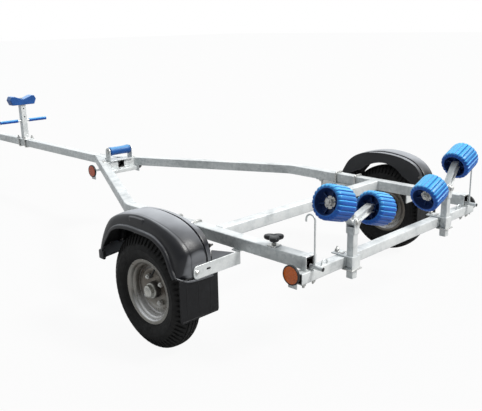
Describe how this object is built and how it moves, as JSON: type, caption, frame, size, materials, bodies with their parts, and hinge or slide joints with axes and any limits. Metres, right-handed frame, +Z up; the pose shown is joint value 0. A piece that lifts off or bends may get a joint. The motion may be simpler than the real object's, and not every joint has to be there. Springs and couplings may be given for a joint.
{
  "type": "boat trailer",
  "caption": "Galvanised boat trailer on a jockey wheel, with mudguards, blue ribbed hull rollers on rocking heads, a keel roller and a bow post with a V-shaped snubber.",
  "frame": {"origin": "middle of the trailer's overall box at floor level, where the wheels stand", "axes": "+X forward to the coupling, +Y to the trailer's left, +Z up"},
  "size_m": [4.4475, 1.808, 0.848],
  "materials": {
    "galvanised_steel": "hot-dip galvanised, dull and spangled",
    "tyre_rubber": "matt black tread rubber",
    "silver_paint": "silver wheel paint",
    "black_plastic": "moulded, semi-gloss",
    "blue_rubber": "moulded blue rubber",
    "amber_plastic": "clear amber reflector"
  },
  "bodies": {
    "chassis": {"left_side_rail": "galvanised_steel", "right_side_rail": "galvanised_steel", "drawbar": "galvanised_steel", "cross_member": "galvanised_steel", "rear_crossbeam": "galvanised_steel", "frame_end_caps": "black_plastic", "rail_straps": "galvanised_steel", "left_suspension_unit": "galvanised_steel", "right_suspension_unit": "galvanised_steel", "left_suspension_arm": "galvanised_steel", "right_suspension_arm": "galvanised_steel", "suspension_u_bolts": "galvanised_steel", "left_mudguard": "black_plastic", "right_mudguard": "black_plastic", "mudguard_brackets": "galvanised_steel", "nose_gussets": "galvanised_steel", "nose_clamp_plate": "galvanised_steel", "keel_roller_bracket": "galvanised_steel", "keel_roller_pin": "galvanised_steel", "bow_post": "galvanised_steel", "bow_post_base": "galvanised_steel", "bow_post_u_bolts": "galvanised_steel", "handle_bar": "galvanised_steel", "handle_grips": "blue_rubber", "bow_snubber": "blue_rubber", "roller_posts": "galvanised_steel", "post_clamps": "galvanised_steel", "head_pivot_pins": "galvanised_steel", "rear_reflectors": "amber_plastic", "front_reflectors": "amber_plastic", "reflector_brackets": "galvanised_steel", "lashing_eyes": "galvanised_steel", "light_arm_knobs": "black_plastic", "coupling_sleeve": "galvanised_steel", "coupling_socket": "galvanised_steel", "coupling_lever": "galvanised_steel", "safety_chain_plate": "galvanised_steel", "jockey_clamp": "galvanised_steel", "jockey_outer_tube": "galvanised_steel"},
    "left_road_wheel": {"left_tyre": "tyre_rubber", "left_wheel_rim": "silver_paint", "left_hub": "galvanised_steel"},
    "right_road_wheel": {"right_tyre": "tyre_rubber", "right_wheel_rim": "silver_paint", "right_hub": "galvanised_steel"},
    "left_rocking_head": {"left_roller_head": "galvanised_steel", "left_roller_axles": "galvanised_steel"},
    "left_outer_hull_roller": {"left_outer_roller": "blue_rubber"},
    "left_inner_hull_roller": {"left_inner_roller": "blue_rubber"},
    "right_rocking_head": {"right_roller_head": "galvanised_steel", "right_roller_axles": "galvanised_steel"},
    "right_outer_hull_roller": {"right_outer_roller": "blue_rubber"},
    "right_inner_hull_roller": {"right_inner_roller": "blue_rubber"},
    "keel_roller_body": {"keel_roller": "blue_rubber"},
    "left_lamp_arm": {"left_light_arm": "galvanised_steel"},
    "right_lamp_arm": {"right_light_arm": "galvanised_steel"},
    "jockey_stem_body": {"jockey_stem": "galvanised_steel"},
    "jockey_caster": {"jockey_fork": "galvanised_steel"},
    "jockey_road_wheel": {"jockey_wheel": "tyre_rubber"}
  },
  "joints": [
    {"name": "left_wheel_spin", "type": "hinge", "parent": "chassis", "child": "left_road_wheel", "pos_m": [-1.5508, 0.82, 0.238], "axis": [0, 1, 0], "continuous": true},
    {"name": "right_wheel_spin", "type": "hinge", "parent": "chassis", "child": "right_road_wheel", "pos_m": [-1.5508, -0.82, 0.238], "axis": [0, 1, 0], "continuous": true},
    {"name": "left_head_rock", "type": "hinge", "parent": "chassis", "child": "left_rocking_head", "pos_m": [-2.1605, 0.361, 0.537], "axis": [1, 0, 0], "range_deg": [-24, 16]},
    {"name": "left_outer_roller_spin", "type": "hinge", "parent": "left_rocking_head", "child": "left_outer_hull_roller", "pos_m": [-2.1605, 0.47382, 0.62969], "axis": [0, 0.9613, 0.2756], "continuous": true},
    {"name": "left_inner_roller_spin", "type": "hinge", "parent": "left_rocking_head", "child": "left_inner_hull_roller", "pos_m": [-2.1605, 0.2162, 0.55582], "axis": [0, 0.9613, 0.2756], "continuous": true},
    {"name": "right_head_rock", "type": "hinge", "parent": "chassis", "child": "right_rocking_head", "pos_m": [-2.1605, -0.326, 0.537], "axis": [-1, 0, 0], "range_deg": [-30, 10]},
    {"name": "right_outer_roller_spin", "type": "hinge", "parent": "right_rocking_head", "child": "right_outer_hull_roller", "pos_m": [-2.1605, -0.42851, 0.64097], "axis": [0, 0.9272, -0.3746], "continuous": true},
    {"name": "right_inner_roller_spin", "type": "hinge", "parent": "right_rocking_head", "child": "right_inner_hull_roller", "pos_m": [-2.1605, -0.18003, 0.54058], "axis": [0, 0.9272, -0.3746], "continuous": true},
    {"name": "keel_roller_spin", "type": "hinge", "parent": "chassis", "child": "keel_roller_body", "pos_m": [-0.13601, 0, 0.508], "axis": [0, 1, 0], "continuous": true},
    {"name": "left_light_arm_slide", "type": "slide", "parent": "chassis", "child": "left_lamp_arm", "axis": [-1, 0, 0], "range_m": [0, 0.2]},
    {"name": "right_light_arm_slide", "type": "slide", "parent": "chassis", "child": "right_lamp_arm", "axis": [-1, 0, 0], "range_m": [0, 0.2]},
    {"name": "jockey_height", "type": "slide", "parent": "chassis", "child": "jockey_stem_body", "axis": [0, 0, 1], "range_m": [-0.15, 0.08]},
    {"name": "jockey_swivel", "type": "hinge", "parent": "jockey_stem_body", "child": "jockey_caster", "pos_m": [1.94899, -0.06, 0.222], "axis": [0, 0, 1], "continuous": true},
    {"name": "jockey_wheel_spin", "type": "hinge", "parent": "jockey_caster", "child": "jockey_road_wheel", "pos_m": [1.90899, -0.06, 0.1], "axis": [0, 1, 0], "continuous": true}
  ]
}
